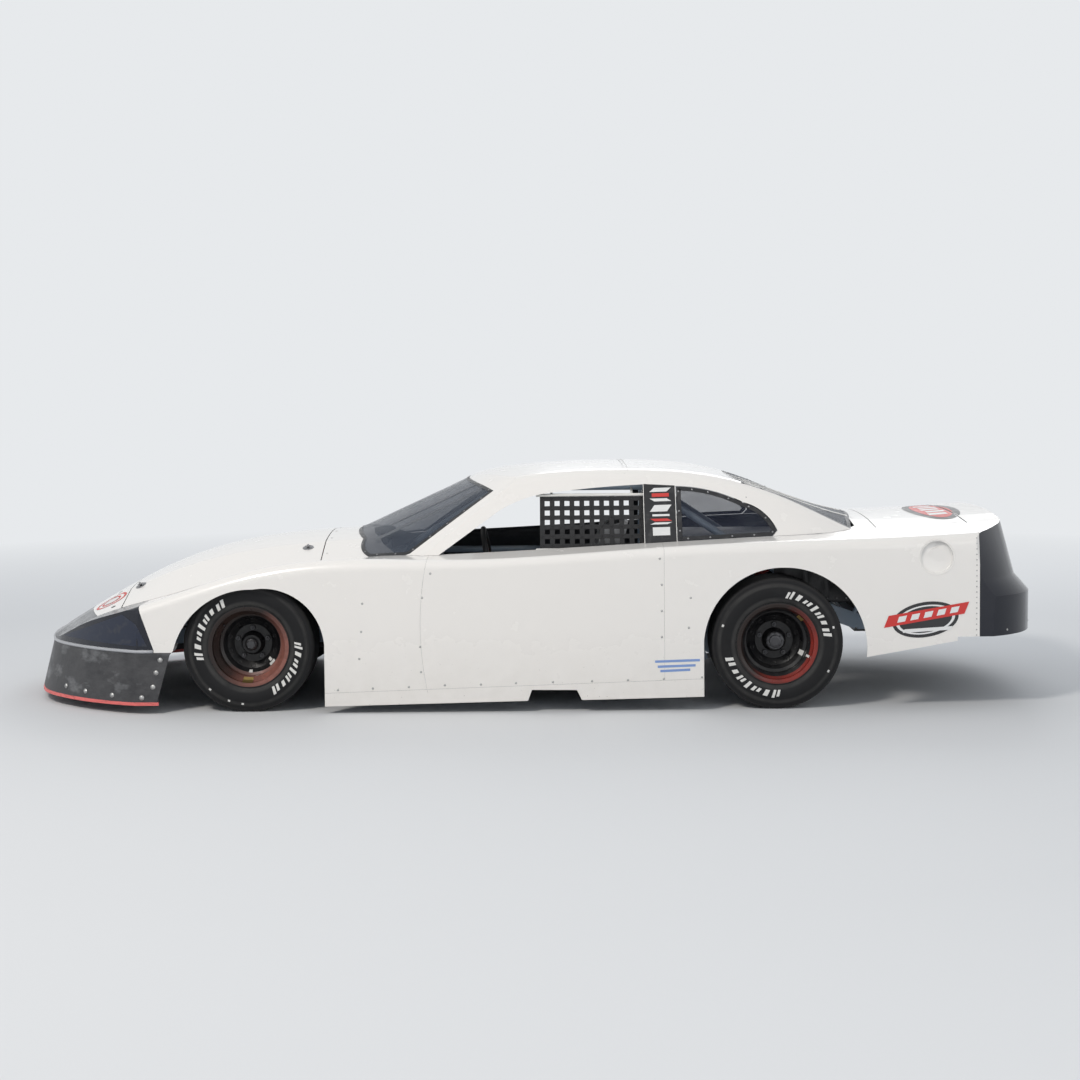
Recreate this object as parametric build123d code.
from build123d import *
import math
import os

# Stock car for oval racing. X runs rearwards, Y to the car's right, Z up; the nose points to -X.
# The origin is on the ground at the middle of the overall length. Everything is in millimetres.

# Driving dimensions
WHEELBASE = 2667.0
FRONT_OVERHANG = 1240.0
REAR_OVERHANG = 1375.0
PANEL = 4.0            # body panel thickness
SEAM = 0.8             # gap between neighbouring panels
LID_GAP = 5.0          # gap round the hood and the deck lid, which open
SEAT_GAP = 0.3         # gap between a piece and the piece that carries it
TYRE_RADIUS = 333.0
TYRE_WIDTH = 280.0     # across the sidewalls' bulge
TREAD_WIDTH = 236.0
RIM_RADIUS = 207.0     # outside of the rim flange
BEAD_RADIUS = 190.0    # barrel of a 15 inch wheel
RIM_WIDTH = 262.0
FRONT_TRACK = 1550.0   # between the wheels' middle planes
REAR_TRACK = 1600.0
KINGPIN_Y = 668.0
REST_STEER = 0.0       # road wheels stand straight ahead, as parked
TUBE_R = 22.0          # roll cage tube, 44 mm outside
RAIL_W = 50.0
RAIL_H = 100.0

LENGTH = FRONT_OVERHANG + WHEELBASE + REAR_OVERHANG
FRONT_AXLE = -LENGTH / 2 + FRONT_OVERHANG
REAR_AXLE = FRONT_AXLE + WHEELBASE
NOSE_TIP = FRONT_AXLE - FRONT_OVERHANG
TAIL_TIP = REAR_AXLE + REAR_OVERHANG

# Lines across the car, in X
HOOD_REAR = FRONT_AXLE + 338.0
DOOR_REAR = REAR_AXLE - 570.0
TAIL_SEAM = REAR_AXLE + 1011.0
FAR = 3000.0                         # long enough to cut right across the car

PARTS = {}


def keep(name, shape):
    """Registers a finished piece under its node name."""
    PARTS[name] = shape


def at_x(x):
    """Plane across the car at x: local x is +Y and local y is +Z."""
    return Plane(origin=(x, 0, 0), x_dir=(0, 1, 0), z_dir=(1, 0, 0))


SIDE = Plane(origin=(0, 0, 0), x_dir=(1, 0, 0), z_dir=(0, -1, 0))   # local x is +X, local y is +Z


def outline(edges):
    """Face inside a closed run of edges."""
    return Face(Wire(edges))


def polyface(points, plane):
    """Flat face with straight sides on a plane, from local points."""
    return plane.location * outline(Polyline(*points, close=True).edges())


def side_prism(face, y_low=-FAR, y_high=FAR):
    """Extrudes a face drawn in the side view from y_low to y_high."""
    placed = SIDE.location * face
    return extrude(placed.moved(Location((0, y_low, 0))), amount=y_high - y_low, dir=(0, 1, 0))


def plan_prism(face, z_low=-FAR, z_high=FAR):
    """Extrudes a face drawn in plan from z_low to z_high."""
    return extrude(face.moved(Location((0, 0, z_low))), amount=z_high - z_low, dir=(0, 0, 1))


def block(x0, x1, y0, y1, z0, z1):
    """Box by its limits."""
    return Box(x1 - x0, y1 - y0, z1 - z0).moved(
        Location(((x0 + x1) / 2, (y0 + y1) / 2, (z0 + z1) / 2)))


def mirror_y(shape):
    return mirror(shape, about=Plane.XZ)


def tube(start, end, radius=TUBE_R):
    """Round bar from one point to another."""
    a, b = Vector(start), Vector(end)
    return Solid.make_cylinder(radius, (b - a).length, Plane(origin=a, z_dir=b - a))


BEND_R = 60.0          # bending radius on a tube's middle line


def tube_run(points, radius=TUBE_R):
    """One bent tube along a run of points, as a list with that one solid."""
    corners = [Vector(*p) for p in points]
    edges = []
    here = corners[0]
    for before, corner, after in zip(corners, corners[1:], corners[2:]):
        towards, away = (before - corner).normalized(), (after - corner).normalized()
        half = towards.get_angle(away) / 2
        reach = BEND_R / math.tan(math.radians(half))
        start, end = corner + towards * reach, corner + away * reach
        centre = corner + (towards + away).normalized() * (BEND_R / math.sin(math.radians(half)))
        middle = centre + (corner - centre).normalized() * BEND_R
        edges += [Line(here, start), ThreePointArc(start, middle, end)]
        here = end
    edges.append(Line(here, corners[-1]))
    if len(edges) == 1:
        return [tube(points[0], points[1], radius)]
    path = Wire(edges)
    section = Plane(origin=corners[0], z_dir=corners[1] - corners[0]).location * Circle(radius)
    return [Solid.sweep(section.face(), path)]


def fused(pieces):
    """One shape from many touching pieces."""
    first, *rest = pieces
    return first.fuse(*rest) if rest else first


def coped(pairs):
    """Bars as separate solids from (bar, the same bar a seat gap larger) pairs.

    Each bar is cut back from every earlier one that it meets, as at a welded joint. Gives one list
    of solids for each bar.
    """
    done = []
    boxes = [bar.bounding_box() for bar, _ in pairs]
    for i, (bar, _) in enumerate(pairs):
        near = []
        for j in range(i):
            a, b = boxes[i], boxes[j]
            if (a.min.X < b.max.X + 1 and b.min.X < a.max.X + 1 and a.min.Y < b.max.Y + 1
                    and b.min.Y < a.max.Y + 1 and a.min.Z < b.max.Z + 1 and b.min.Z < a.max.Z + 1):
                near.append(pairs[j][1])
        left = bar.cut(*near).solids() if near else [bar]
        done.append([piece for piece in left if piece.volume > 0.1 * bar.volume])
    return done


# Body below the windows: sections across the car, from the nose to the tail.
# The half section runs up the side, round the shoulder, in along the fender top to the seam, up the
# flank of the hood or deck to its crease, and over the crown to the middle.
TUB_COLUMNS = ("x", "side_low", "side_high", "shoulder_z", "shoulder_r",
               "seam_y", "seam_z", "crease_y", "crease_z", "crown_z")
TUB_TABLE = (
    (FRONT_AXLE - 1300, 950, 930, 150, 40, 640, 165, 400, 200, 215),
    (FRONT_AXLE - 1000, 950, 930, 350, 42, 640, 360, 400, 408, 430),
    (FRONT_AXLE - 700, 950, 930, 494, 45, 640, 505, 400, 575, 600),
    (FRONT_AXLE - 450, 955, 935, 576, 50, 640, 570, 400, 678, 712),
    (FRONT_AXLE + 0, 965, 945, 716, 60, 640, 696, 400, 785, 822),
    (FRONT_AXLE + 400, 970, 948, 770, 60, 640, 744, 400, 825, 854),
    (FRONT_AXLE + 950, 972, 948, 768, 52, 640, 790, 400, 850, 872),
    (REAR_AXLE - 767, 974, 948, 812, 50, 640, 838, 400, 872, 890),
    (REAR_AXLE + 0, 972, 945, 850, 56, 640, 872, 400, 905, 920),
    (REAR_AXLE + 583, 968, 940, 866, 60, 640, 892, 400, 915, 928),
    (REAR_AXLE + 1033, 960, 932, 888, 60, 640, 914, 400, 934, 944),
    (REAR_AXLE + 1450, 950, 925, 895, 60, 640, 920, 400, 940, 950),
)
TUB_FLOOR = 20.0


def tub_section(row, inset):
    """One closed section of the tub, drawn in from the outside by a panel's thickness."""
    r = dict(zip(TUB_COLUMNS, row))
    low, high = r["side_low"] - inset, r["side_high"] - inset
    top = r["shoulder_z"] - inset
    radius = r["shoulder_r"] - inset / 2
    seam = (r["seam_y"], r["seam_z"] - inset)
    crease = (r["crease_y"], r["crease_z"] - inset)
    crown = r["crown_z"] - inset
    turn = radius * (1 - math.sqrt(0.5))

    def half(sign):
        side = Line((sign * low, TUB_FLOOR), (sign * high, top - radius))
        arc = ThreePointArc((sign * high, top - radius), (sign * (high - turn), top - turn),
                            (sign * (high - radius), top))
        fender = Line((sign * (high - radius), top), (sign * seam[0], seam[1]))
        flank = Line((sign * seam[0], seam[1]), (sign * crease[0], crease[1]))
        return [side, arc, fender, flank]

    crown_arc = ThreePointArc((crease[0], crease[1]), (0, crown), (-crease[0], crease[1]))
    floor = Line((-low, TUB_FLOOR), (low, TUB_FLOOR))
    edges = half(1) + [crown_arc] + list(reversed(half(-1))) + [floor]
    return at_x(r["x"]).location * outline(edges)


def tub_solid(inset):
    return Solid.make_loft([tub_section(row, inset).outer_wire() for row in TUB_TABLE])


# Nose and tail in plan: half outlines from the middle of the front outwards, one row for each height.
# The run is middle, end of the front face, end of the corner, end of the side.
NOSE_COLUMNS = ("z", "tip", "face_x", "face_y", "corner_x", "corner_y", "side_x", "side_y")
NOSE_TABLE = (
    (0, 1252, 1180, 430, 1085, 600, 470, 985),
    (300, 1172, 1104, 430, 1012, 596, 470, 978),
    (900, 1034, 978, 385, 897, 542, 485, 958),
)
TAIL_COLUMNS = ("z", "tip", "face_x", "face_y", "corner_x", "corner_y", "side_x", "side_y")
TAIL_TABLE = (
    (200, 1375, 1345, 560, 1290, 740, 960, 990),
    (565, 1375, 1345, 560, 1290, 740, 960, 985),
    (650, 1290, 1268, 560, 1215, 735, 950, 980),
    (1050, 1175, 1160, 540, 1110, 700, 940, 960),
)


def end_section(row, columns, origin, outward, inset):
    """Closed plan section of the nose or tail at one height; outward is -1 at the nose and 1 at the tail."""
    r = dict(zip(columns, row))

    def point(x, y):
        return (origin + outward * (x - inset), y, r["z"])

    middle = point(r["tip"], 0)
    edges = []
    for sign in (1, -1):
        face = point(r["face_x"], sign * r["face_y"])
        corner = point(r["corner_x"], sign * (r["corner_y"] - inset / 2))
        side = point(r["side_x"], sign * (r["side_y"] - inset))
        front = TangentArc(middle, face, tangent=(0, sign, 0))
        bend = TangentArc(face, corner, tangent=front % 1)
        flank = TangentArc(corner, side, tangent=bend % 1)
        back = Line(side, point(200, sign * (r["side_y"] - inset)))
        edges.append([front, bend, flank, back])
    closing = Line(point(200, r["side_y"] - inset), point(200, -(r["side_y"] - inset)))
    return outline(edges[0] + [closing] + edges[1])


def nose_solid(inset):
    return Solid.make_loft(
        [end_section(row, NOSE_COLUMNS, FRONT_AXLE, -1, inset).outer_wire() for row in NOSE_TABLE], True)


def tail_solid(inset):
    return Solid.make_loft(
        [end_section(row, TAIL_COLUMNS, REAR_AXLE, 1, inset).outer_wire() for row in TAIL_TABLE], True)


def envelope(inset):
    """The tub with its nose and tail rounded in plan."""
    tub = tub_solid(inset)
    nose_cut = block(NOSE_TIP - 400, FRONT_AXLE - 205, -FAR, FAR, -100, 1500) - nose_solid(inset)
    tail_cut = block(REAR_AXLE + 205, TAIL_TIP + 400, -FAR, FAR, -100, 1500) - tail_solid(inset)
    return tub - nose_cut - tail_cut



# Windows and roof: sections across the car. The half section runs up the side from the belt to the roof
# edge, round the corner and over the crown.
CABIN_COLUMNS = ("x", "base_y", "base_z", "edge_y", "edge_z", "corner_r", "crown_z")
CABIN_TABLE = (
    (FRONT_AXLE + 740, 803, 735, 690, 950, 60, 1040),
    (FRONT_AXLE + 1100, 803, 750, 640, 1060, 60, 1142),
    (FRONT_AXLE + 1330, 803, 760, 615, 1108, 60, 1193),
    (FRONT_AXLE + 1600, 803, 770, 605, 1138, 60, 1209),
    (FRONT_AXLE + 1950, 803, 785, 605, 1145, 60, 1210),
    (REAR_AXLE - 417, 803, 800, 610, 1128, 60, 1180),
    (REAR_AXLE - 147, 800, 812, 625, 1085, 48, 1120),
    (REAR_AXLE + 143, 792, 822, 650, 985, 34, 1024),
    (REAR_AXLE + 378, 782, 828, 668, 884, 18, 952),
    (REAR_AXLE + 620, 770, 780, 675, 800, 10, 878),
)
CABIN_FLOOR = 650.0


def cabin_section(row, inset):
    r = dict(zip(CABIN_COLUMNS, row))
    lean = math.atan2(r["base_y"] - r["edge_y"], r["edge_z"] - r["base_z"])
    base_y, edge_y = r["base_y"] - inset, r["edge_y"] - inset
    base_z, edge_z, crown = r["base_z"], r["edge_z"] - inset / 2, r["crown_z"] - inset
    radius = r["corner_r"] - inset / 2
    bend = (edge_y - radius * (1 - math.cos(math.radians(45))) - 0.35 * radius * math.sin(lean),
            edge_z + 0.62 * radius)
    end = (edge_y - 1.35 * radius, edge_z + 0.92 * radius)

    def half(sign):
        return [Line((sign * base_y, CABIN_FLOOR), (sign * base_y, base_z)),
                Line((sign * base_y, base_z), (sign * edge_y, edge_z)),
                ThreePointArc((sign * edge_y, edge_z), (sign * bend[0], bend[1]), (sign * end[0], end[1]))]

    crown_arc = ThreePointArc((end[0], end[1]), (0, crown), (-end[0], end[1]))
    floor = Line((-base_y, CABIN_FLOOR), (base_y, CABIN_FLOOR))
    edges = half(1) + [crown_arc] + list(reversed(half(-1))) + [floor]
    return at_x(r["x"]).location * outline(edges)


# Windscreen surface in plan at two heights: middle, glass corner, pillar corner.
SCREEN_COLUMNS = ("z", "middle_x", "corner_x", "corner_y", "pillar_x", "pillar_y")
SCREEN_TABLE = (
    (640, 8, 631, 812, 760, 880),
    (1240, 1315, 1461, 526, 1540, 640),
)


def screen_section(row, inset):
    r = dict(zip(SCREEN_COLUMNS, row))

    def point(x, y):
        return (FRONT_AXLE + x + 2 * inset, y, r["z"])

    back = REAR_AXLE + 900
    middle = point(r["middle_x"], 0)
    right = point(r["corner_x"], r["corner_y"])
    left = point(r["corner_x"], -r["corner_y"])
    right_pillar = point(r["pillar_x"], r["pillar_y"])
    left_pillar = point(r["pillar_x"], -r["pillar_y"])
    right_back = (back, r["pillar_y"] + 300, r["z"])
    left_back = (back, -r["pillar_y"] - 300, r["z"])
    return outline([ThreePointArc(left, middle, right), Line(right, right_pillar),
                    Line(right_pillar, right_back), Line(right_back, left_back),
                    Line(left_back, left_pillar), Line(left_pillar, left)])


def cabin(inset):
    """Greenhouse solid down to below the belt, with the windscreen's curve cut into its front."""
    body = Solid.make_loft([cabin_section(row, inset).face().outer_wire() for row in CABIN_TABLE])
    ahead = Solid.extrude(cabin_section(CABIN_TABLE[0], inset).face(), (-620, 0, 0))
    screen = Solid.make_loft([screen_section(row, inset).face().outer_wire() for row in SCREEN_TABLE], True)
    return (body & screen).fuse(ahead & screen)


def front(x, z):
    """Side view point, x from the front axle."""
    return (FRONT_AXLE + x, z)


def rear(x, z):
    """Side view point, x from the rear axle."""
    return (REAR_AXLE + x, z)



# Everything below and around the body in the side view: under edge, jack notch and both wheel arches
under_edges = [
    Line(front(-1500, -200), front(-1500, 62)), Line(front(-1500, 62), front(-459, 62)),
    Line(front(-459, 62), front(-392, 300)), Line(front(-392, 300), front(-374, 322)),
    ThreePointArc(front(-374, 322), front(-216, 554), front(30, 629)),
    ThreePointArc(front(30, 629), front(262, 575), front(389, 347)),
    Line(front(389, 347), front(389, 37)), Line(front(389, 37), front(1410, 59)),
    Line(front(1410, 59), front(1430, 114)), Line(front(1430, 114), front(1657, 112)),
    Line(front(1657, 112), front(1681, 61)), Line(front(1681, 61), rear(-372, 73)),
    Line(rear(-372, 73), rear(-372, 357)),
    ThreePointArc(rear(-372, 357), rear(-232, 626), rear(33, 719)),
    ThreePointArc(rear(33, 719), rear(300, 622), rear(445, 266)),
    Line(rear(445, 266), rear(1009, 362)), Line(rear(1009, 362), rear(1500, 366)),
    Line(rear(1500, 366), rear(1500, -200)), Line(rear(1500, -200), front(-1500, -200)),
]
ARCH_DEPTH = 560.0                   # the arches are cut this far in from the middle
under_cut = side_prism(outline(under_edges), -FAR, -ARCH_DEPTH)
under_cut = under_cut.fuse(mirror_y(under_cut), block(NOSE_TIP - 200, FRONT_AXLE - 459, -FAR, FAR, -200, 62),
                           block(REAR_AXLE + 900, TAIL_TIP + 200, -FAR, FAR, 0, 364))

outer = envelope(0)
inner = envelope(PANEL)
cabin_outer = cabin(0)
cabin_inner = cabin(PANEL)

# Opening in the body's top under the windows, in plan from the front axle
COCKPIT = ((560, 0), (590, 260), (650, 480), (730, 640), (775, 700), (850, 745), (960, 762), (2300, 768),
           (2900, 752),
           (3060, 640), (3110, 560), (3120, 0))
cockpit_points = [(FRONT_AXLE + x, y) for x, y in COCKPIT]
cockpit_points += [(x, -y) for x, y in reversed(cockpit_points[1:-1])]
cockpit = plan_prism(outline(Polyline(*cockpit_points, close=True).edges()), 500, 1500)

# Air inlet in the nose, a wide slot across the middle
INLET_HALF, INLET_LOW, INLET_HIGH = 300.0, 128.0, 208.0
inlet = block(NOSE_TIP - 100, NOSE_TIP + 400, -INLET_HALF, INLET_HALF, INLET_LOW, INLET_HIGH)

shell = outer - inner - under_cut - cockpit - inlet

# Fuel filler recess in the left quarter
FILLER = rear(795, 766)
FILLER_R = 84.0
filler_hole = Solid.make_cylinder(FILLER_R, 400, Plane(origin=(FILLER[0], -700, FILLER[1]), z_dir=(0, -1, 0)))
shell = shell - filler_hole


def seam_x(x_of, y_low=-FAR, y_high=FAR):
    """Thin cutter along an upright seam given by side view points."""
    half = SEAM / 2
    points = [(x - half, z) for x, z in x_of] + [(x + half, z) for x, z in reversed(x_of)]
    return side_prism(outline(Polyline(*points, close=True).edges()), y_low, y_high)


def seam_z(points, y_low=-FAR, y_high=FAR):
    """Thin cutter along a level seam given by side view points."""
    half = SEAM / 2
    band = [(x, z - half) for x, z in points] + [(x, z + half) for x, z in reversed(points)]
    return side_prism(outline(Polyline(*band, close=True).edges()), y_low, y_high)


FLANK = 640.0                        # hood and deck seams, either side of the middle
VALANCE_TOP = 312.0
door_curve = [ThreePointArc(front(941 + dx, 900), front(872 + dx, 420), front(908 + dx, 100))
              for dx in (-SEAM / 2, SEAM / 2)]
door_seam = side_prism(outline([
    door_curve[0], Line(door_curve[0] @ 1, door_curve[1] @ 1), door_curve[1],
    Line(door_curve[1] @ 0, door_curve[0] @ 0)]))
cutters = [
    seam_x([front(-600, 900), front(-547, 534), front(-473, 325), front(-473, 300)], -FAR, -FLANK),
    seam_x([front(-600, 900), front(-547, 534), front(-473, 325), front(-473, 300)], FLANK, FAR),
    seam_z([front(-1500, VALANCE_TOP), front(-374, VALANCE_TOP)]),
    door_seam,
    seam_x([(DOOR_REAR, 157), (DOOR_REAR, 1000)]),
    seam_z([front(380, 104), rear(-360, 164)]),
    seam_x([(TAIL_SEAM, 200), (TAIL_SEAM, 1200)]),
]
HOOD_SEAM = FRONT_AXLE - 700.0
DECK_SEAM = REAR_AXLE + 538.0        # front edge of the deck lid
for y in (-FLANK, FLANK):
    cutters.append(block(FRONT_AXLE - 1000, FRONT_AXLE + 870, y - SEAM / 2, y + SEAM / 2, 330, 1000))
    cutters.append(block(REAR_AXLE + 360, TAIL_SEAM, y - SEAM / 2, y + SEAM / 2, 700, 1100))
    cutters.append(block(HOOD_SEAM, HOOD_REAR + LID_GAP, y - LID_GAP / 2, y + LID_GAP / 2, 400, 1000))
    cutters.append(block(DECK_SEAM, TAIL_SEAM, y - LID_GAP / 2, y + LID_GAP / 2, 700, 1100))
cutters.append(block(HOOD_SEAM, HOOD_SEAM + LID_GAP, -FLANK, FLANK, 400, 900))
cutters.append(block(DECK_SEAM, DECK_SEAM + LID_GAP, -FLANK, FLANK, 700, 1100))
cutters.append(block(HOOD_REAR, HOOD_REAR + LID_GAP, -FLANK, FLANK, 500, 1100))
cutters.append(block(TAIL_SEAM - LID_GAP, TAIL_SEAM, -FLANK, FLANK, 700, 1100))
# Edge of the white nose top, rounded in plan
nose_arcs = [ThreePointArc((FRONT_AXLE - 822 - dx, -FLANK), (FRONT_AXLE - 950 - dx, 0),
                           (FRONT_AXLE - 822 - dx, FLANK))
             for dx in (0, SEAM)]
cutters.append(plan_prism(outline([
    nose_arcs[0], Line(nose_arcs[0] @ 1, nose_arcs[1] @ 1), nose_arcs[1],
    Line(nose_arcs[1] @ 0, nose_arcs[0] @ 0)]), 330, 1000))

loose = shell.cut(*cutters).solids()


def take(solids, *probes):
    """The solids that lie nearest to each probe point, as one shape."""
    found = []
    for probe in probes:
        nearest = min(solids, key=lambda s: s.distance_to(Vertex(*probe)))
        if not any(nearest.is_same(s) for s in found):
            found.append(nearest)
    return found[0] if len(found) == 1 else Compound(found)


def at_front(x, y, z):
    return (FRONT_AXLE + x, y, z)


def at_rear(x, y, z):
    return (REAR_AXLE + x, y, z)


keep("nose_top", take(loose, at_front(-850, 0, 540)))
keep("nose_bumper", take(loose, at_front(-1050, 0, 400), at_front(-700, -790, 430), at_front(-700, 790, 430)))
keep("valance", take(loose, at_front(-1190, 0, 260)))
keep("hood", take(loose, at_front(0, 0, 820)))
keep("cowl_panel", take(loose, at_front(500, 600, 760)))
keep("fender_left", take(loose, at_front(600, -965, 500)))
keep("fender_right", take(loose, at_front(600, 965, 500)))
keep("door_left", take(loose, at_front(1500, -965, 500)))
keep("door_right", take(loose, at_front(1500, 965, 500)))
keep("rocker_skirts", take(loose, at_front(1500, -972, 125), at_front(1500, 972, 125)))
keep("quarter_left", take(loose, at_rear(600, -962, 600)))
keep("quarter_right", take(loose, at_rear(600, 962, 600)))
keep("deck_filler", take(loose, at_rear(500, 0, 925)))
keep("decklid", take(loose, at_rear(800, 0, 935)))
keep("tail_cover", take(loose, at_rear(1375, 0, 450)))

# Rubber strip under the valance
strip_band = block(NOSE_TIP - 20, FRONT_AXLE - 452, -FAR, FAR, 45, 62 - SEAT_GAP)
keep("splitter_strip", (outer - envelope(8)) & strip_band)

# Roof, pillars and windows, cut from one greenhouse shell
cabin_shell = (cabin_outer - cabin_inner) - envelope(-1)
screen_face = plan_prism(outline([
    Line((FRONT_AXLE, -735), (FRONT_AXLE + 811, -735)),
    Line((FRONT_AXLE + 811, -735), (FRONT_AXLE + 1236, -575)),
    ThreePointArc((FRONT_AXLE + 1236, -575), (FRONT_AXLE + 1090, 0), (FRONT_AXLE + 1236, 575)),
    Line((FRONT_AXLE + 1236, 575), (FRONT_AXLE + 811, 735)), Line((FRONT_AXLE + 811, 735), (FRONT_AXLE, 735)),
    Line((FRONT_AXLE, 735), (FRONT_AXLE, -735))]), 600, 1400)
rear_face = plan_prism(outline([
    Line((REAR_AXLE - 150, -590), (REAR_AXLE + 143, -612)),
    Line((REAR_AXLE + 143, -612), (REAR_AXLE + 420, -636)),
    Line((REAR_AXLE + 420, -636), (REAR_AXLE + 700, -636)),
    Line((REAR_AXLE + 700, -636), (REAR_AXLE + 700, 636)),
    Line((REAR_AXLE + 700, 636), (REAR_AXLE + 420, 636)),
    Line((REAR_AXLE + 420, 636), (REAR_AXLE + 143, 612)),
    Line((REAR_AXLE + 143, 612), (REAR_AXLE - 150, 590)),
    ThreePointArc((REAR_AXLE - 150, 590), (REAR_AXLE - 124, 0), (REAR_AXLE - 150, -590))]), 700, 1400)
windscreen = cabin_shell & screen_face
keep("windscreen", windscreen)
back_light = cabin_shell & rear_face
keep("rear_window", back_light)

door_window = outline([
    Line(front(949, 600), front(949, 772)), Line(front(949, 772), front(1262, 992)),
    ThreePointArc(front(1262, 992), front(1361, 1042), front(1503, 1080)),
    ThreePointArc(front(1503, 1080), front(1760, 1107), front(2008, 1122)),
    Line(front(2008, 1122), front(2008, 600)), Line(front(2008, 600), front(949, 600))])
quarter_window = outline([
    Line(front(2175, 700), front(2175, 1113)),
    ThreePointArc(front(2175, 1113), front(2330, 1096), front(2524, 1028)),
    ThreePointArc(front(2524, 1028), front(2640, 962), front(2688, 889)),
    Line(front(2688, 889), front(2640, 838)),
    Line(front(2640, 838), front(2500, 700)), Line(front(2500, 700), front(2175, 700))])
b_pillar = polyface([front(2011, 700), front(2011, 1124), front(2172, 1115), front(2172, 700)], Plane.XY)


def both_sides(face, y_near=500):
    return side_prism(face, -FAR, -y_near).fuse(side_prism(face, y_near, FAR))


below_window = polyface([front(2100, 600), front(2800, 600), front(2800, 838), front(2100, 838)], Plane.XY)
frame_shell = cabin_shell.cut(screen_face, rear_face, both_sides(door_window),
                              both_sides(quarter_window - below_window), both_sides(b_pillar))
roof_solids = frame_shell.solids()
keep("roof", max(roof_solids, key=lambda s: s.volume))
keep("b_pillars", Compound((cabin_shell & both_sides(b_pillar)).solids()))
BAND_FOOT = 838 + SEAT_GAP           # the quarter windows stand on the quarters
window_band = outline([
    Line(front(2178, BAND_FOOT), front(2178, 1110)),
    ThreePointArc(front(2178, 1110), front(2330, 1093), front(2522, 1025)),
    ThreePointArc(front(2522, 1025), front(2637, 960), front(2684, 889)),
    Line(front(2684, 889), front(2637, BAND_FOOT)),
    Line(front(2637, BAND_FOOT), front(2178, BAND_FOOT))])
keep("quarter_windows", Compound((cabin_shell & both_sides(window_band)).solids()))

# Fuel filler: a round cup behind the left quarter, its cap and the hose down to the cell
FILL_X, FILL_Z = FILLER
filler_axis = (0, -1, 0)


def filler_bar(radius, y_start, y_end):
    return Solid.make_cylinder(radius, y_start - y_end,
                               Plane(origin=(FILL_X, y_start, FILL_Z), z_dir=filler_axis))


CELL_TOP = 560.0
filler = filler_bar(FILLER_R - 0.5, -895, -938) - filler_bar(FILLER_R - 4.5, -899, -1000)
elbow = Solid.make_sphere(32, Plane(origin=(FILL_X, -800, FILL_Z)), -90, 90, 360)
filler = filler.fuse(filler_bar(44, -890, -928), filler_bar(31, -800, -895), elbow,
                     tube((FILL_X, -800, FILL_Z), (FILL_X, -300, CELL_TOP + 12), 30))
filler = filler - block(FILL_X - 100, FILL_X + 100, -600, 0, 0, CELL_TOP + SEAT_GAP)
keep("fuel_filler", filler)


# Chassis: rails, crossmembers, bumper bars, spring towers and the rack's housing
CENTRE_RAIL_Y, FRONT_RAIL_Y, REAR_RAIL_Y = 620.0, 355.0, 585.0
CLIP_H = 80.0
FRAME = []                           # (bar, the same bar a seat gap larger)


def add_bar(make):
    """Adds a bar from a function of how much larger than nominal it is made."""
    FRAME.append((make(0.0), make(SEAT_GAP)))


def rail(points, y, depth):
    """Box rail that follows side view points along its middle, on both sides of the car."""
    for (xa, za), (xb, zb) in zip(points, points[1:]):
        angle = math.atan2(zb - za, xb - xa)
        for side in (-1, 1):
            def make(more):
                dx, dz = -math.sin(angle) * (depth / 2 + more), math.cos(angle) * (depth / 2 + more)
                ex, ez = math.cos(angle) * more, math.sin(angle) * more
                face = outline(Polyline(
                    (xa - ex + dx, za - ez + dz), (xb + ex + dx, zb + ez + dz),
                    (xb + ex - dx, zb + ez - dz), (xa - ex - dx, za - ez - dz), close=True).edges())
                low, high = y - RAIL_W / 2 - more, y + RAIL_W / 2 + more
                return side_prism(face, low, high) if side > 0 else side_prism(face, -high, -low)
            add_bar(make)


def beam(x0, x1, y0, y1, z0, z1):
    """A box member between two points by the front axle."""
    add_bar(lambda more: block(FRONT_AXLE + x0 - more, FRONT_AXLE + x1 + more, y0 - more, y1 + more,
                               z0 - more, z1 + more))


def cross(x0, x1, half_y, z0, z1):
    beam(x0, x1, -half_y, half_y, z0, z1)


def pair(x0, x1, y0, y1, z0, z1):
    beam(x0, x1, y0, y1, z0, z1)
    beam(x0, x1, -y1, -y0, z0, z1)


def bent(points, radius=TUBE_R):
    add_bar(lambda more: tube_run(points, radius + more)[0])


rail([front(470, 145), front(2150, 145)], CENTRE_RAIL_Y, RAIL_H)
rail([front(-930, 320), front(560, 320)], FRONT_RAIL_Y, CLIP_H)
rail([front(2120, 155), front(2330, 250), front(2440, 480), front(2900, 480), front(3120, 400),
      front(3700, 400)], REAR_RAIL_Y, 80)
cross(470, 560, 645, 80, 128)
pair(470, 560, 330, 645, 120, 345)
cross(2040, 2090, 645, 100, 190)
pair(2080, 2150, 560, 645, 110, 190)
cross(-60, 60, 381.7, 150, 205)
pair(-60, 60, 330, 381.7, 150, 285)
cross(2420, 2470, 610, 450, 510)
cross(3100, 3150, 610, 370, 430)
cross(3650, 3700, 610, 370, 430)
bent([at_front(-930, -355, 320), at_front(-1080, -330, 250), at_front(-1080, 330, 250),
      at_front(-930, 355, 320)])
bent([at_front(-915, -355, 320), at_front(-915, 355, 320)])
TOWER_TOP = 612.0
RACK_X, RACK_Z, RACK_R = FRONT_AXLE - 150.0, 250.0, 14.0
for side in (-1, 1):
    bent([at_front(60, side * 352, 350), at_front(60, side * 400, 600)], 19)
    bent([at_front(-60, side * 352, 350), at_front(-60, side * 400, 600)], 19)
    bent([at_rear(75, side * 585, 505), at_rear(75, side * 560, 745), at_rear(75, 0, 745)], 19)
pair(-79, 79, 375, 510, 600, TOWER_TOP)
bent([(RACK_X, -240, RACK_Z), (RACK_X, 240, RACK_Z)], 26)
beam(-160, -55, -60, 60, 165, 240)
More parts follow.
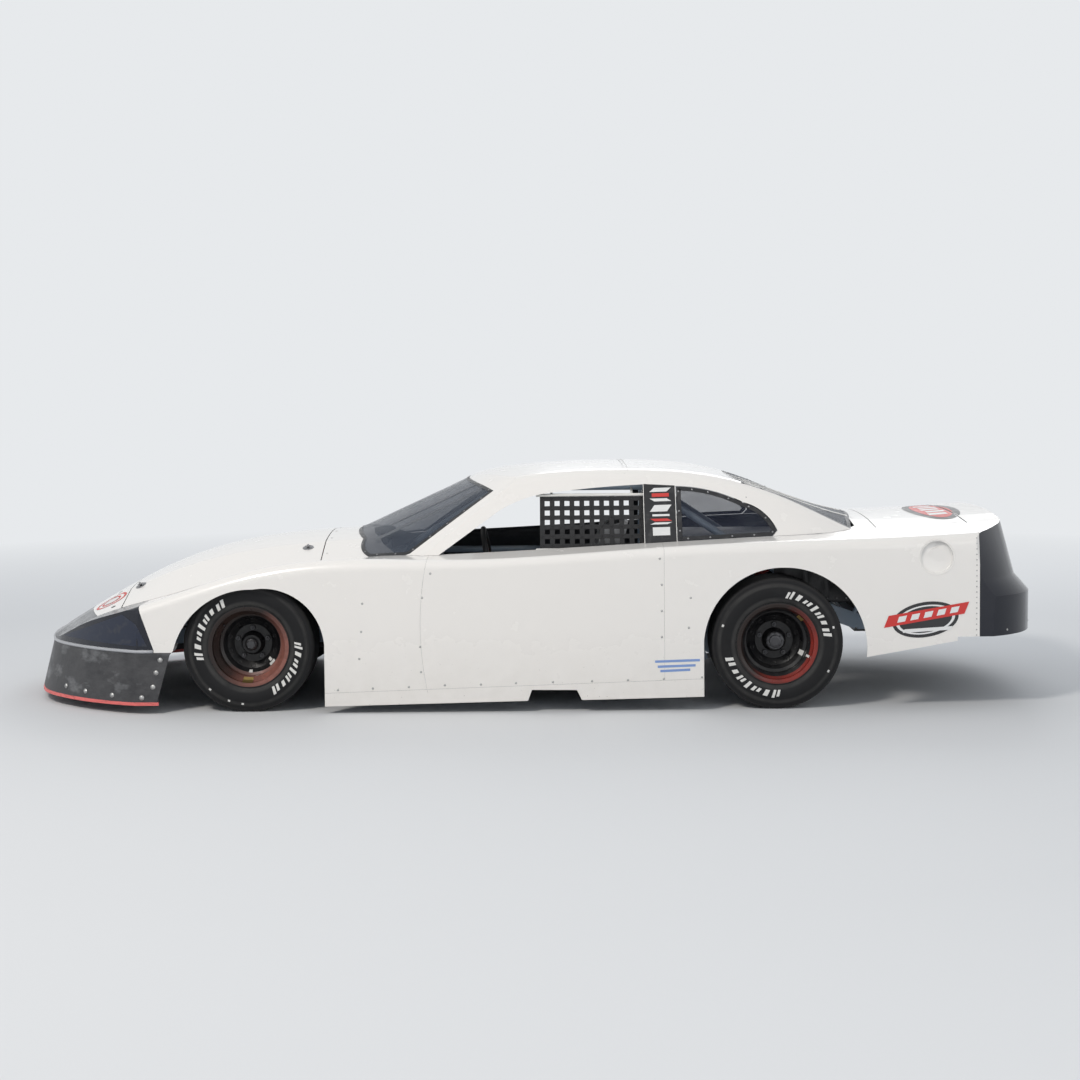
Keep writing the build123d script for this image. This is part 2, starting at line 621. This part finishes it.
# Tow eyes, a plate with a hole at each end of the car
TOW_EYE_R, TOW_EYE_THICK = 20.0, 12.0
TOW_EYES = ((-1128, 250.0), (3728, 400.0))
for x, z in TOW_EYES:
    beam(x - 32, x + 32, -TOW_EYE_THICK / 2, TOW_EYE_THICK / 2, z - 32, z + 32)
# Jacking brackets outside the centre rails, each with an upright bore for the stand's pin
JACK_X, JACK_R, JACK_THICK = 1543, 16.0, 12.0
JACK_Y, JACK_TOP = CENTRE_RAIL_Y + RAIL_W / 2 + 34, 112.0
pair(JACK_X - 40, JACK_X + 40, JACK_Y - 38, JACK_Y + 32, JACK_TOP - JACK_THICK, JACK_TOP)
frame_holes = [tube((RACK_X, -300, RACK_Z), (RACK_X, 300, RACK_Z), RACK_R + 5)]
for side in (-1, 1):
    jack_foot = Plane(origin=at_front(JACK_X, side * JACK_Y, JACK_TOP - 1.5 * JACK_THICK))
    frame_holes.append(Solid.make_cylinder(JACK_R, 2 * JACK_THICK, jack_foot))
for x, z in TOW_EYES:
    frame_holes.append(Solid.make_cylinder(TOW_EYE_R, 40, Plane(origin=at_front(x, -20, z), z_dir=(0, 1, 0))))
# The whole frame in one, to cut other pieces back from it, and its bars as separate solids
chassis = fused([bar for bar, _ in FRAME]).cut(*frame_holes)
frame_solids = Compound([s for solids in coped(FRAME) for s in solids]).cut(*frame_holes)
keep("chassis_frame", Compound(frame_solids.solids()))

# Roll cage: runs of points for the left half, then the bars that cross the car
within = envelope(PANEL + SEAT_GAP)
cabin_within = cabin(PANEL + SEAT_GAP)
BAR_R, SIDE_BAR_R, POST_R, STAY_R = 20.0, 19.0, 16.0, 12.0
HOOP_X = 2065
HOOP = ((-620, 170), (-722, 300), (-722, 760), (-575, 1085), (-470, 1148), (470, 1148), (575, 1085), (722, 760),
        (722, 300), (620, 170))
DASH_NODE = (700, -705, 690)
FRONT_LEG = ((600, -630, 150), (690, -715, 330), DASH_NODE, (1290, -560, 1070), (1400, -545, 1112),
             (HOOP_X, -545, 1112))
FRONT_STAY = ((705, -702, 686), (480, -470, 640), (-300, -358, 520), (-880, -355, 300))
REAR_STAY = ((HOOP_X, -575, 1085), (3080, -580, 415))


CAGE = {node: [] for node in ("main_hoop", "side_rails", "cage_bars", "door_bars_left", "door_bars_right", "door_posts",
                              "panel_stays")}


def bar_pair(node, points, radius):
    """A bent bar of the cage from points by the front axle, and the same bar a seat gap larger."""
    run = [at_front(*p) for p in points]
    CAGE[node].append((tube_run(run, radius)[0], tube_run(run, radius + SEAT_GAP)[0]))


def both(points, radius, node="cage_bars"):
    """A bar on the left and its mirror image on the right."""
    bar_pair(node, points, radius)
    bar_pair(node, [(x, -y, z) for x, y, z in points], radius)


bar_pair("main_hoop", [(HOOP_X, y, z) for y, z in HOOP], TUBE_R)
bar_pair("main_hoop", [(HOOP_X, -722, 700), (HOOP_X, 722, 700)], BAR_R)
bar_pair("main_hoop", [(HOOP_X, -722, 330), (HOOP_X, 520, 1118)], 18)
both(FRONT_LEG, TUBE_R, "side_rails")
both(FRONT_STAY, BAR_R)
both(REAR_STAY, SIDE_BAR_R)
both(((HOOP_X, -722, 640), (2640, -585, 480)), 18)
bar_pair("cage_bars", ((1290, -560, 1070), (1335, -300, 1134), (1335, 300, 1134), (1290, 560, 1070)), BAR_R)
bar_pair("cage_bars", ((706, -702, 685), (706, 702, 685)), BAR_R)
LEFT_BARS, RIGHT_BARS = (300, 430, 560, 680), (330, 500, 660)
for z in LEFT_BARS:
    leg_y = -715 + 10 * (z - 330) / 360
    bar_pair("door_bars_left", ((694, leg_y, z), (950, -850, z), (1850, -850, z), (HOOP_X, -722, z)), SIDE_BAR_R)
for z in RIGHT_BARS:
    leg_y = 715 - 10 * (z - 330) / 360
    bar_pair("door_bars_right", ((694, leg_y, z), (900, 820, z), (1860, 820, z), (HOOP_X, 722, z)), SIDE_BAR_R)
for x in (1150, 1400, 1650):
    bar_pair("door_posts", ((x, -850, LEFT_BARS[0]), (x, -850, LEFT_BARS[-1])), POST_R)
    bar_pair("door_posts", ((x, 820, RIGHT_BARS[0]), (x, 820, RIGHT_BARS[-1])), POST_R)
# Stays that carry the panels, trimmed to their inner faces
STAYS = (
    ((480, -470, 640), (480, -1000, 640)),
    ((500, -491, 644), (560, -560, 900)),
    ((480, -470, 640), (300, -430, 900)),
    ((-520, -355, 340), (-520, -355, 800)),
    ((-660, -357, 384), (-700, -1000, 380)),
    ((-860, -355, 308), (-960, -1000, 220)),
    ((-840, -357, 330), (-840, -330, 700)),
    ((1250, -850, 560), (1250, -1000, 560)),
    ((1750, -850, 560), (1750, -1000, 560)),
    ((1250, -850, 300), (1250, -1000, 120)),
    ((1750, -850, 300), (1750, -1000, 130)),
    ((3560, -590, 400), (3560, -1000, 560)),
    ((3400, -585, 400), (3400, -540, 1000)),
    ((3090, -585, 405), (3300, -760, 950)),
    ((3680, -560, 400), (4150, -560, 480)),
)
for start, end in STAYS:
    if abs(start[1]) > 800:
        bar_pair("panel_stays", (start, end), STAY_R)
        high = start[2] > 400
        bar_pair("panel_stays", ((start[0], 820, 500 if high else 330),
                                 (end[0], 1000, 500 if high else end[2])), STAY_R)
    else:
        both((start, end), STAY_R, "panel_stays")
for x in (1600, 1950):
    both(((x, -545, 1100), (x, -545, 1250)), STAY_R, "panel_stays")


# The cage's bars as separate solids; a stay ends at the inside of the panel that it carries
every_bar = [bars for node in CAGE for bars in CAGE[node]]
cage_solids = coped(every_bar)
taken = 0
for node, bars in CAGE.items():
    own = Compound([s for solids in cage_solids[taken:taken + len(bars)] for s in solids])
    taken += len(bars)
    if node == "panel_stays":
        high = [s for s in own.solids() if s.bounding_box().max.Z > 1240]
        low = [s for s in own.solids() if s.bounding_box().max.Z <= 1240]
        own = Compound((Compound(low) & within).solids() + (Compound(high) & cabin_within).solids())
    keep(node, Compound([s for s in (own - chassis).solids() if s.volume > 2000]))
# The whole cage in one, to cut other pieces back from it
roll_cage = fused([bar for node in CAGE if node != "panel_stays" for bar, _ in CAGE[node]])
roll_cage = roll_cage.fuse(*PARTS["panel_stays"].solids()) - chassis

# Floor, firewall, bulkheads and the tunnel over the gearbox
TIN = 3.0
TUNNEL_Y, TUNNEL_Z = 150.0, 425.0
tin = fused([
    block(FRONT_AXLE + 600, FRONT_AXLE + 2030, -612, 612, 195.3, 195.3 + TIN),
    block(FRONT_AXLE + 600, FRONT_AXLE + 600 + TIN, -612, 612, 195.3, 742),
    block(FRONT_AXLE + 2110, FRONT_AXLE + 2110 + TIN, -560, 560, 192, 801),
    block(FRONT_AXLE + 2110, FRONT_AXLE + 3090, -530, 530, 801, 801 + TIN),
    block(FRONT_AXLE + 3087, FRONT_AXLE + 3090, -530, 530, 640, 804),
    block(FRONT_AXLE + 600, FRONT_AXLE + 2113, -TUNNEL_Y, TUNNEL_Y, 195.3, TUNNEL_Z),
])
tin = tin - block(FRONT_AXLE + 590, FRONT_AXLE + 2160, -TUNNEL_Y + TIN, TUNNEL_Y - TIN, 150, TUNNEL_Z - TIN)
tin = tin - roll_cage
keep("interior_tin", max(tin.solids(), key=lambda s: s.volume))

# Dash panel with a gauge box on the driver's side, hung from the dash bar
SEAT_Y = -385.0
dash = block(FRONT_AXLE + 735, FRONT_AXLE + 738, -640, 640, 590, 742)
dash = dash.fuse(block(FRONT_AXLE + 737, FRONT_AXLE + 765, SEAT_Y - 160, SEAT_Y + 160, 640, 735))
dash = dash.fuse(*[block(FRONT_AXLE + 700, FRONT_AXLE + 736, y - 15, y + 15, 680, 700) for y in (-600, 0, 600)])
dash = dash - tube(at_front(706, -700, 685), at_front(706, 700, 685), BAR_R + SEAT_GAP)
keep("dash_panel", dash.solids().sort_by(SortBy.VOLUME)[-1])

# Engine and gearbox, one plain block
GEARBOX_END = FRONT_AXLE + 1150.0
engine = fused([
    block(FRONT_AXLE - 100, FRONT_AXLE + 440, -205, 205, 300, 560),
    block(FRONT_AXLE - 50, FRONT_AXLE + 420, -120, 120, 215, 301),
    block(FRONT_AXLE - 80, FRONT_AXLE + 420, -270, 270, 480, 640),
    block(FRONT_AXLE + 40, FRONT_AXLE + 300, -110, 110, 560, 682),
    Solid.make_cylinder(170, 65, Plane(origin=at_front(170, 0, 680))),
    Solid.make_cylinder(140, 160, Plane(origin=at_front(438, 0, 335), z_dir=(1, 0, 0))),
    block(FRONT_AXLE + 590, GEARBOX_END, -75, 75, 255, 405),
    block(FRONT_AXLE + 200, FRONT_AXLE + 260, -329.7, 329.7, 310, 350),
])
keep("engine", engine)

# Radiator, carried by the front rails
keep("radiator", fused([
    block(FRONT_AXLE - 640, FRONT_AXLE - 585, -300, 300, 190, 480),
    block(FRONT_AXLE - 630, FRONT_AXLE - 595, -329.7, 329.7, 300, 340),
    Solid.make_cylinder(150, 30, Plane(origin=at_front(-586, 0, 335), z_dir=(1, 0, 0)))]))

# Exhaust: a log on each side of the engine and a pipe under the floor
pipes = []
for side in (-1, 1):
    y = side * 262
    pipes.append(block(FRONT_AXLE - 60, FRONT_AXLE + 400, min(side * 270.3, side * 305), max(side * 270.3, side * 305),
                       500, 560))
    run = tube_run([at_front(350, side * 298, 520), at_front(410, y, 440), at_front(430, y, 300),
                    at_front(445, y, 162), at_front(1900, y, 162), at_front(1990, y, 140)], 30)
    pipes.append(fused(run) - block(FRONT_AXLE, FRONT_AXLE + 600, -270, 270, 480 - 5, 700))
exhaust = fused(pipes[0:2]) - engine
keep("exhaust", Compound(exhaust.solids() + mirror_y(exhaust).solids()))

# Driveshaft with a fork at each end
PINION_X = REAR_AXLE - 262.0
AXLE_Z = TYRE_RADIUS
keep("driveshaft", fused([
    tube((GEARBOX_END + SEAT_GAP, 0, AXLE_Z), (GEARBOX_END + 60, 0, AXLE_Z), 30),
    tube((GEARBOX_END + 60, 0, AXLE_Z), (PINION_X - 60, 0, AXLE_Z), 40),
    tube((PINION_X - 60, 0, AXLE_Z), (PINION_X - SEAT_GAP, 0, AXLE_Z), 30)]))

# Fuel cell between the rear crossmembers
keep("fuel_cell", block(FRONT_AXLE + 3150 + SEAT_GAP, FRONT_AXLE + 3650 - SEAT_GAP, -330, 330, 310, CELL_TOP))

# Bucket seat on two brackets, with its pad
SEAT_HALF = 225.0
seat_side = outline(Polyline(front(1340, 238), front(1730, 215), front(1792, 250), front(1932, 930),
                             front(1800, 905), front(1700, 560), front(1600, 430), front(1340, 380),
                             close=True).edges())
seat_hollow = outline(Polyline(front(1300, 244.5), front(1728, 219.3), front(1788, 253), front(1935, 967),
                               front(1700, 1100), front(1300, 1100), close=True).edges())
seat = side_prism(seat_side, SEAT_Y - SEAT_HALF, SEAT_Y + SEAT_HALF)
seat = seat - side_prism(seat_hollow, SEAT_Y - SEAT_HALF + 4, SEAT_Y + SEAT_HALF - 4)
for y in (SEAT_Y - 140, SEAT_Y + 110):
    foot = block(FRONT_AXLE + 1380, FRONT_AXLE + 1700, y, y + 30, 198.3 + SEAT_GAP, 236)
    seat = seat.fuse(foot - side_prism(seat_hollow))
keep("seat_shell", seat)
pad_side = outline(Polyline(front(1345, 242.3), front(1726, 219.9), front(1784, 253.5), front(1921, 918),
                            front(1840, 925), front(1735, 620), front(1660, 310), front(1560, 290),
                            front(1345, 305), close=True).edges())
keep("seat_pad", side_prism(pad_side, SEAT_Y - SEAT_HALF + 4.3, SEAT_Y + SEAT_HALF - 4.3))

# Steering column and wheel
COLUMN_START = Vector(*at_front(604, SEAT_Y, 600))
COLUMN_END = Vector(*at_front(1160, SEAT_Y, 696))
COLUMN_DIR = (COLUMN_END - COLUMN_START).normalized()
column = tube(COLUMN_START, COLUMN_END, 20)
column = column.fuse(block(FRONT_AXLE + 700, FRONT_AXLE + 780, SEAT_Y - 12, SEAT_Y + 12, 615, 668))
column = column - dash - tube(at_front(706, -700, 685), at_front(706, 700, 685), BAR_R + SEAT_GAP)
column = column - block(FRONT_AXLE + 590, FRONT_AXLE + 603.3, -700, 0, 400, 800)
keep("steering_column", max(column.solids(), key=lambda s: s.volume))
WHEEL_PLANE = Plane(origin=COLUMN_END + COLUMN_DIR * 45, x_dir=(0, 1, 0), z_dir=COLUMN_DIR)
hand_wheel = [WHEEL_PLANE.location * Torus(178, 14).solid(),
              Solid.make_cylinder(42, 24, Plane(origin=COLUMN_END + COLUMN_DIR * 22, z_dir=COLUMN_DIR)),
              Solid.make_cylinder(18, 22 - SEAT_GAP, Plane(origin=COLUMN_END + COLUMN_DIR * SEAT_GAP,
                                                   z_dir=COLUMN_DIR))]
for angle in (-90, 30, 150):
    spoke = Box(150, 30, 5).moved(Location((100, 0, 0)))
    hand_wheel.append(WHEEL_PLANE.location * Rotation(0, 0, angle) * spoke)
keep("steering_wheel", fused(hand_wheel))


# Wheels, tyres and brakes, built about the wheel's own axis along +Y with its middle plane at y = 0
DISC_FACE = -29.0                    # mounting face of the wheel
ROTOR_R, ROTOR_IN, ROTOR_OUT = 150.0, -80.0, -56.0
SPINDLE_R, BORE_R = 26.0, 26.3
EDGE = RIM_WIDTH / 2                 # from the wheel's middle plane to the rim's outside
# (y, radius) round the rim: flange, bead seat, wide barrel, deep outer well, and back along the inside
RIM_POINTS = (
    (-EDGE, RIM_RADIUS - 10), (-EDGE, RIM_RADIUS), (-EDGE + 5, RIM_RADIUS),
    (-EDGE + 9, BEAD_RADIUS), (-95, BEAD_RADIUS - 1), (-84, 177),
    (8, 177), (20, 166), (70, 166),
    (97, BEAD_RADIUS - 1), (EDGE - 9, BEAD_RADIUS), (EDGE - 5, RIM_RADIUS),
    (EDGE, RIM_RADIUS), (EDGE, RIM_RADIUS - 10), (EDGE - 4, 184),
    (100, 183), (74, 160), (16, 160),
    (4, 171), (-87, 171), (-98, 183), (-EDGE + 4, 184))
DISC_POINTS = ((-37, 60), (DISC_FACE, 60), (DISC_FACE, 95), (-4, 128), (18, 146), (26, 161), (16, 161), (9, 150),
               (-14, 132), (-37, 101))


def turned(points):
    """Solid of revolution about the Y axis from (y, radius) points."""
    face = outline(Polyline(*[(r, w) for w, r in points], close=True).edges())
    return revolve(face, Axis.Y)


def wheel_shape():
    hub = turned(((-80.0, BORE_R), (-80.0, 62), (-37.5, 62), (-37.5, 101), (DISC_FACE + 1, 101), (DISC_FACE + 1, 62),
                  (24, 46), (24, 0.01), (-14, 0.01), (-14, BORE_R)))
    rotor = turned(((ROTOR_IN, 61), (ROTOR_IN, ROTOR_R), (ROTOR_OUT, ROTOR_R), (ROTOR_OUT, 61)))
    return turned(RIM_POINTS).fuse(turned(DISC_POINTS), hub, rotor)


HALF_W, HALF_TREAD = TYRE_WIDTH / 2, TREAD_WIDTH / 2


def tyre_shape():
    """Slick tyre with a real hollow; its beads sit on the rim with a small gap."""
    def contour(bead_r, bead_w, bulge_w, bulge_r, shoulder_w, tread_r, round_r):
        right = [Line((bead_r, 0.0 + bead_w), (bead_r + 12, bead_w + 1)),
                 ThreePointArc((bead_r + 12, bead_w + 1), (bulge_r, bulge_w), (tread_r - round_r, shoulder_w + 6)),
                 ThreePointArc((tread_r - round_r, shoulder_w + 6), (tread_r - round_r * 0.28, shoulder_w - 1),
                               (tread_r - 3, shoulder_w - round_r)),
                 ThreePointArc((tread_r - 3, shoulder_w - round_r), (tread_r, 0),
                               (tread_r - 3, -(shoulder_w - round_r)))]
        left = [ThreePointArc((tread_r - 3, -(shoulder_w - round_r)), (tread_r - round_r * 0.28, -shoulder_w + 1),
                              (tread_r - round_r, -shoulder_w - 6)),
                ThreePointArc((tread_r - round_r, -shoulder_w - 6), (bulge_r, -bulge_w), (bead_r + 12, -bead_w - 1)),
                Line((bead_r + 12, -bead_w - 1), (bead_r, -bead_w)), Line((bead_r, -bead_w), (bead_r, bead_w))]
        return revolve(outline(right + left), Axis.Y)

    whole = contour(190.3, 121.6, HALF_W, 262, HALF_TREAD + 6, TYRE_RADIUS, 22)
    hollow = contour(190.0, 106, HALF_W - 9, 262, HALF_TREAD - 6, TYRE_RADIUS - 12, 18)
    return whole - hollow - Solid.make_cylinder(190.3, 600, Plane(origin=(0, -300, 0), z_dir=(0, 1, 0)))


def caliper_shape():
    """Brake caliper behind the axle, open over the rotor with 5 mm to spare."""
    body = block(96, 158, -97, -40, -48, 48) & Solid.make_cylinder(
        164, 200, Plane(origin=(0, -150, 0), z_dir=(0, 1, 0)))
    slot = Solid.make_cylinder(ROTOR_R + 5, ROTOR_OUT - ROTOR_IN + 10,
                               Plane(origin=(0, ROTOR_IN - 5, 0), z_dir=(0, 1, 0)))
    return body - slot


wheel_solid = wheel_shape()
tyre_solid = tyre_shape()
caliper = caliper_shape()

# Front corner at straight ahead, right side: knuckle about the kingpin, then turned by the rest angle
FRONT_PLANE_Y = FRONT_TRACK / 2
REAR_PLANE_Y = REAR_TRACK / 2
ARM_LENGTH, ARM_IN = 140.0, 80.0
LOWER_BALL_Z, UPPER_BALL_Z = 212.0, 430.0
PIVOT_GAP = 0.5
ARM_Z0, ARM_Z1 = 262.0, 278.0
kingpin_w = KINGPIN_Y - FRONT_PLANE_Y
knuckle = fused([
    block(-24, 24, kingpin_w - 20, kingpin_w + 20, LOWER_BALL_Z + PIVOT_GAP - AXLE_Z,
          UPPER_BALL_Z - PIVOT_GAP - AXLE_Z),
    Solid.make_cylinder(46, 14, Plane(origin=(0, ROTOR_IN - 5 - 14, 0), z_dir=(0, 1, 0))),
    Solid.make_cylinder(SPINDLE_R, 80, Plane(origin=(0, ROTOR_IN - 10, 0), z_dir=(0, 1, 0))) & block(
        -50, 50, -200, -14 - PIVOT_GAP, -50, 50),
    block(20, 100, -97, -86, -30, 30),
    caliper,
    extrude(outline(Polyline((-20, kingpin_w + 10), (20, kingpin_w + 10), (-ARM_LENGTH + 14, kingpin_w - ARM_IN - 15),
                             (-ARM_LENGTH - 14, kingpin_w - ARM_IN), close=True).edges()).moved(
        Location((0, 0, ARM_Z0 - AXLE_Z))), amount=ARM_Z1 - ARM_Z0, dir=(0, 0, 1)),
    Solid.make_cylinder(19, ARM_Z1 - ARM_Z0, Plane(origin=(-ARM_LENGTH, kingpin_w - ARM_IN, ARM_Z0 - AXLE_Z))),
])


def placed_front(shape, side):
    """Moves a corner piece to its wheel, on the right for side 1, and turns it about its kingpin."""
    shape = shape if side > 0 else mirror_y(shape)
    shape = shape.moved(Location((FRONT_AXLE, side * FRONT_PLANE_Y, AXLE_Z)))
    return shape.rotate(Axis((FRONT_AXLE, side * KINGPIN_Y, 0), (0, 0, 1)), -REST_STEER)


def placed_rear(shape, side):
    shape = shape if side > 0 else mirror_y(shape)
    return shape.moved(Location((REAR_AXLE, side * REAR_PLANE_Y, AXLE_Z)))


for side, word in ((-1, "left"), (1, "right")):
    keep(f"knuckle_{word}", placed_front(knuckle, side))
    keep(f"wheel_front_{word}", placed_front(wheel_solid, side))
    keep(f"tyre_front_{word}", placed_front(tyre_solid, side))
    keep(f"wheel_rear_{word}", placed_rear(wheel_solid, side))
    keep(f"tyre_rear_{word}", placed_rear(tyre_solid, side))

# Steering rack with its tie rods, slid over to suit the rest angle
turn = math.radians(-REST_STEER)


def arm_end(side):
    """Where the steering arm's end stands at rest."""
    x, y = -ARM_LENGTH, -side * ARM_IN
    return (FRONT_AXLE + x * math.cos(turn) - y * math.sin(turn),
            side * KINGPIN_Y + x * math.sin(turn) + y * math.cos(turn))


RACK_SHIFT = ARM_LENGTH * math.sin(math.radians(REST_STEER))
rack = [tube((RACK_X, -330 + RACK_SHIFT, RACK_Z), (RACK_X, 330 + RACK_SHIFT, RACK_Z), RACK_R)]
for side in (-1, 1):
    end_x, end_y = arm_end(side)
    rack.append(Solid.make_sphere(RACK_R, Plane(origin=(RACK_X, side * 330 + RACK_SHIFT, RACK_Z)), -90, 90, 360))
    rack.append(tube((RACK_X, side * 330 + RACK_SHIFT, RACK_Z), (end_x, end_y, RACK_Z), 10))
    rack.append(Solid.make_cylinder(16, ARM_Z0 - PIVOT_GAP - 240, Plane(origin=(end_x, end_y, 240))))
keep("steering_rack", fused(rack))

# Front control arms with their pivot tubes and ball joints
arms = []
for side in (-1, 1):
    ball_y = side * KINGPIN_Y
    lower = fused([
        tube(at_front(-105, side * 398, 225), at_front(105, side * 398, 225), 16),
        tube(at_front(-90, side * 398, 225), at_front(-8, ball_y, 203), 12),
        tube(at_front(90, side * 398, 225), at_front(8, ball_y, 203), 12),
        Solid.make_cylinder(24, 28, Plane(origin=at_front(0, ball_y, LOWER_BALL_Z - 28))),
        block(FRONT_AXLE - 50, FRONT_AXLE + 50, min(side * 512, side * 570), max(side * 512, side * 570), 206, 226),
    ])
    lower = lower - block(FRONT_AXLE - 60, FRONT_AXLE + 60, min(side * 600, side * 720), max(side * 600, side * 720),
                          LOWER_BALL_Z, 300)
    upper = fused([
        tube(at_front(-85, side * 434, 445), at_front(85, side * 434, 445), 14),
        tube(at_front(-75, side * 434, 445), at_front(-8, ball_y, 447), 11),
        tube(at_front(75, side * 434, 445), at_front(8, ball_y, 447), 11),
        Solid.make_cylinder(22, 30, Plane(origin=at_front(0, ball_y, UPPER_BALL_Z))),
    ])
    arms += [lower, upper - chassis]
keep("front_control_arms", Compound([s for arm in arms for s in arm.solids()]))

# Coil-over dampers at all four corners
coils = []
for side in (-1, 1):
    coils.append(fused([
        tube(at_front(0, side * 544, 210), at_front(0, side * 466, 590), 14),
        tube(at_front(0, side * 531, 275), at_front(0, side * 480, 522), 36),
        Solid.make_cylinder(20, 19.7, Plane(origin=at_front(0, side * 465, 580)))])
        - block(FRONT_AXLE - 60, FRONT_AXLE + 60, min(side * 470, side * 600), max(side * 470, side * 600), 150, 226.3))
    coils.append(fused([
        tube(at_rear(75, side * 500, 322.3), at_rear(75, side * 500, 725.7), 14),
        tube(at_rear(75, side * 500, 390), at_rear(75, side * 500, 660), 36)]))
keep("coil_overs", Compound([s for coil in coils for s in coil.solids()]))

# Rear axle: centre housing, tubes, spindles, spring brackets and calipers
axle = [
    block(REAR_AXLE - 130, REAR_AXLE + 150, -130, 130, 200, 470),
    tube((PINION_X, 0, AXLE_Z), (REAR_AXLE - 120, 0, AXLE_Z), 62),
    tube((REAR_AXLE, -REAR_PLANE_Y + 90, AXLE_Z), (REAR_AXLE, REAR_PLANE_Y - 90, AXLE_Z), 40),
    tube((REAR_AXLE, -REAR_PLANE_Y + 14 + PIVOT_GAP, AXLE_Z), (REAR_AXLE, REAR_PLANE_Y - 14 - PIVOT_GAP, AXLE_Z),
         SPINDLE_R),
]
for side in (-1, 1):
    y = side * 500
    axle.append(block(REAR_AXLE - 45, REAR_AXLE + 110, y - 30, y + 30, 302, 322))
    axle.append(block(REAR_AXLE - 60, REAR_AXLE + 45, y - 20, y + 20, 220, 333))
    mount = block(20, 100, -97, -86, -30, 30)
    axle.append(placed_rear(caliper, side))
    axle.append(placed_rear(mount, side))
keep("rear_axle", fused(axle))

# Trailing links and the cross link of the rear axle
links = [
    tube(at_rear(-62, -500, 250), at_rear(-505, -560, 190), 13),
    tube(at_rear(-62, 500, 250), at_rear(-505, 560, 190), 13),
    tube(at_rear(170, -470, 300), at_rear(170, 470, 380), 13),
]
keep("rear_links", Compound(
    [max((link - chassis - PARTS["rear_axle"]).solids(), key=lambda s: s.volume) for link in links[:2]]))

# Window net of straps in the left door window, between two rods
NET_LOW = Vector(*at_front(1476, -748, 806))
NET_HIGH = Vector(*at_front(1476, -620, 1062))
NET_UP = (NET_HIGH - NET_LOW).normalized()
NET_HEIGHT = (NET_HIGH - NET_LOW).length
NET_LENGTH = 534.0
net_plane = Plane(origin=NET_LOW, x_dir=(1, 0, 0), z_dir=Vector(1, 0, 0).cross(NET_UP))
NET_COLUMNS, NET_ROWS = 11, 6
STRAP_W, STRAP_T = 25.0, 2.4
straps = []
for i in range(NET_COLUMNS):
    x = (NET_LENGTH - STRAP_W) * i / (NET_COLUMNS - 1) + STRAP_W / 2
    straps.append(Box(STRAP_W, NET_HEIGHT, STRAP_T).moved(Location((x, NET_HEIGHT / 2, 0))))
for j in range(NET_ROWS):
    y = (NET_HEIGHT - STRAP_W) * j / (NET_ROWS - 1) + STRAP_W / 2
    straps.append(Box(NET_LENGTH, STRAP_W, STRAP_T).moved(Location((NET_LENGTH / 2, y, 0))))
net = fused(straps)
keep("window_net", net_plane.location * net)
rods = []
ROD_R, BRACKET_R = 8.0, 6.0
for along, foot_y, foot_z in ((NET_HEIGHT + ROD_R + 0.5, -545, 1112), (-ROD_R - 0.5, -850, 680)):
    line = NET_LOW + NET_UP * along
    rod = [tube(line + Vector(-20, 0, 0), line + Vector(NET_LENGTH + 20, 0, 0), ROD_R)]
    for dx in (60, NET_LENGTH - 60):
        rod.append(tube(line + Vector(dx, 0, 0), Vector(line.X + dx, foot_y, foot_z), BRACKET_R))
    rods += [max((fused(rod) - roll_cage).solids(), key=lambda s: s.volume)]
keep("net_rods", Compound(rods))

if __name__ == "__main__":
    os.makedirs("parts", exist_ok=True)
    for name, shape in PARTS.items():
        export_step(shape, f"parts/{name}.step")
    print(len(PARTS), "pieces written")
